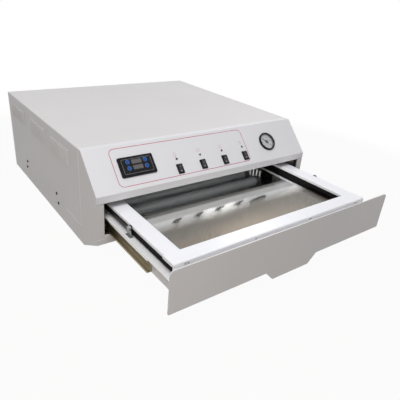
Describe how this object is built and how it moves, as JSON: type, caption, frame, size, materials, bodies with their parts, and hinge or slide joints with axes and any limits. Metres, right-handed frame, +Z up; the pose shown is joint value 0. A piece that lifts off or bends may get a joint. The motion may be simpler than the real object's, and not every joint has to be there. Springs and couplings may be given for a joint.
{
  "type": "screen printing exposure unit",
  "caption": "Table-top screen exposure unit: louvred lamp cabinet with a sloped control panel over a mouth, and a vacuum drawer with a glass lid on ball slides.",
  "frame": {"origin": "centre of the outline in plan, at the underside of the feet, with the drawer as in the picture", "axes": "+X to the right seen from the front, +Y to the back, +Z up"},
  "size_m": [0.576, 0.8152, 0.214],
  "materials": {
    "cabinet_white": "semi-gloss powder coat",
    "cabinet_grey": "satin powder coat",
    "drawer_white": "satin powder coat",
    "lid_white": "semi-gloss paint",
    "zinc": "zinc plated",
    "slide_steel": "yellowish zinc plate",
    "tray_steel": "brushed",
    "cage_brass": "pressed, satin",
    "fitting_brass": "machined",
    "core_aluminium": "extruded",
    "reflector_aluminium": "bright rolled",
    "cast_head": "cast",
    "pump_paint": "satin enamel",
    "black_screw": "black oxide",
    "rubber_black": "matt",
    "dark_steel": "black passivated",
    "pane": "clear float glass",
    "lamp_glass": "coated lamp glass",
    "lens": "clear",
    "plastic_white": "moulded",
    "plastic_black": "fine texture",
    "paddle_black": "moulded",
    "display_grey": "display window",
    "button_blue": "moulded",
    "indicator_dark": "unlit lens",
    "dial_white": "printed dial",
    "needle_black": "matt"
  },
  "bodies": {
    "cabinet": {"chassis": "cabinet_grey", "control_panel": "cabinet_white", "top_cover": "cabinet_grey", "rear_panel": "cabinet_grey", "feet": "rubber_black", "cover_screws": "black_screw", "slide_channels": "zinc", "cabinet_rails": "slide_steel", "cabinet_rail_screws": "zinc", "uv_tubes": "lamp_glass", "tube_caps": "core_aluminium", "lamp_holders": "plastic_white", "reflector": "reflector_aluminium", "lamp_bridge": "zinc", "ballasts": "plastic_white", "vacuum_pump": "pump_paint", "pump_head": "cast_head", "pump_mounts": "rubber_black", "hose_fittings": "fitting_brass", "timer_case": "plastic_black", "timer_displays": "display_grey", "rocker_housings": "plastic_black", "rocker_terminals": "fitting_brass", "indicator_lamps": "indicator_dark", "gauge_case": "plastic_black", "gauge_dial": "dial_white", "gauge_lens": "lens", "power_inlet": "plastic_black"},
    "drawer": {"drawer_rails": "slide_steel", "drawer_rail_screws": "zinc", "drawer_box": "drawer_white", "tray_pan": "tray_steel", "fascia": "drawer_white", "fascia_nuts": "zinc", "fixed_hinge_leaves": "zinc", "hinge_pins": "zinc", "stay_brackets": "zinc", "drawer_fitting": "fitting_brass"},
    "lid": {"lid_rim": "lid_white", "lid_core": "core_aluminium", "front_bar": "lid_white", "front_bar_screws": "zinc", "glass_pane": "pane", "rubber_seal": "rubber_black", "lid_hinge_leaves": "zinc", "stay_pegs": "zinc"},
    "ball_cage_left": {"ball_cage_left": "cage_brass"},
    "ball_cage_right": {"ball_cage_right": "cage_brass"},
    "stay_arm_left": {"stay_arm_left": "dark_steel"},
    "stay_arm_right": {"stay_arm_right": "dark_steel"},
    "gauge_needle": {"gauge_needle": "needle_black"},
    "timer_button_1": {"timer_button_1": "button_blue"},
    "timer_button_2": {"timer_button_2": "button_blue"},
    "timer_button_3": {"timer_button_3": "button_blue"},
    "timer_button_4": {"timer_button_4": "button_blue"},
    "rocker_1": {"rocker_1": "paddle_black"},
    "rocker_2": {"rocker_2": "paddle_black"},
    "rocker_3": {"rocker_3": "paddle_black"},
    "rocker_4": {"rocker_4": "paddle_black"}
  },
  "joints": [
    {"name": "drawer_slide", "type": "slide", "parent": "cabinet", "child": "drawer", "axis": [0, -1, 0], "range_m": [-0.2398, 0.022]},
    {"name": "cage_roll_left", "type": "slide", "parent": "cabinet", "child": "ball_cage_left", "axis": [0, -1, 0], "range_m": [-0.12, 0.0112]},
    {"name": "cage_roll_right", "type": "slide", "parent": "cabinet", "child": "ball_cage_right", "axis": [0, -1, 0], "range_m": [-0.12, 0.0112]},
    {"name": "lid_hinge", "type": "hinge", "parent": "drawer", "child": "lid", "pos_m": [0, 0.01845, 0.097], "axis": [-1, 0, 0], "range_deg": [0, 4]},
    {"name": "stay_swing_left", "type": "hinge", "parent": "drawer", "child": "stay_arm_left", "pos_m": [-0.2515, -0.23595, 0.109], "axis": [1, 0, 0], "range_deg": [0, 2.2]},
    {"name": "stay_swing_right", "type": "hinge", "parent": "drawer", "child": "stay_arm_right", "pos_m": [0.2515, -0.23595, 0.109], "axis": [1, 0, 0], "range_deg": [0, 2.2]},
    {"name": "rocker_tip_1", "type": "hinge", "parent": "cabinet", "child": "rocker_1", "pos_m": [-0.0882, -0.14907, 0.16044], "axis": [-1, 0, 0], "range_deg": [0, 24]},
    {"name": "rocker_tip_2", "type": "hinge", "parent": "cabinet", "child": "rocker_2", "pos_m": [-0.0269, -0.14907, 0.16044], "axis": [-1, 0, 0], "range_deg": [0, 24]},
    {"name": "rocker_tip_3", "type": "hinge", "parent": "cabinet", "child": "rocker_3", "pos_m": [0.0344, -0.14907, 0.16044], "axis": [-1, 0, 0], "range_deg": [0, 24]},
    {"name": "rocker_tip_4", "type": "hinge", "parent": "cabinet", "child": "rocker_4", "pos_m": [0.0957, -0.14907, 0.16044], "axis": [-1, 0, 0], "range_deg": [0, 24]},
    {"name": "button_press_1", "type": "slide", "parent": "cabinet", "child": "timer_button_1", "axis": [0, 0.7234, -0.6904], "range_m": [0, 0.0008], "stiffness_N_per_m": 400, "springref_m": -0.001},
    {"name": "button_press_2", "type": "slide", "parent": "cabinet", "child": "timer_button_2", "axis": [0, 0.7234, -0.6904], "range_m": [0, 0.0008], "stiffness_N_per_m": 400, "springref_m": -0.001},
    {"name": "button_press_3", "type": "slide", "parent": "cabinet", "child": "timer_button_3", "axis": [0, 0.7234, -0.6904], "range_m": [0, 0.0008], "stiffness_N_per_m": 400, "springref_m": -0.001},
    {"name": "button_press_4", "type": "slide", "parent": "cabinet", "child": "timer_button_4", "axis": [0, 0.7234, -0.6904], "range_m": [0, 0.0008], "stiffness_N_per_m": 400, "springref_m": -0.001},
    {"name": "needle_turn", "type": "hinge", "parent": "cabinet", "child": "gauge_needle", "pos_m": [0.178, -0.13257, 0.17773], "axis": [0, -0.7234, 0.6904], "range_deg": [-180, 90]}
  ],
  "couplings": [
    {"joint": "cage_roll_left", "follows": "drawer_slide", "ratio": 0.5},
    {"joint": "cage_roll_right", "follows": "drawer_slide", "ratio": 0.5},
    {"joint": "stay_swing_left", "follows": "lid_hinge", "ratio": 0.535},
    {"joint": "stay_swing_right", "follows": "lid_hinge", "ratio": 0.535}
  ]
}
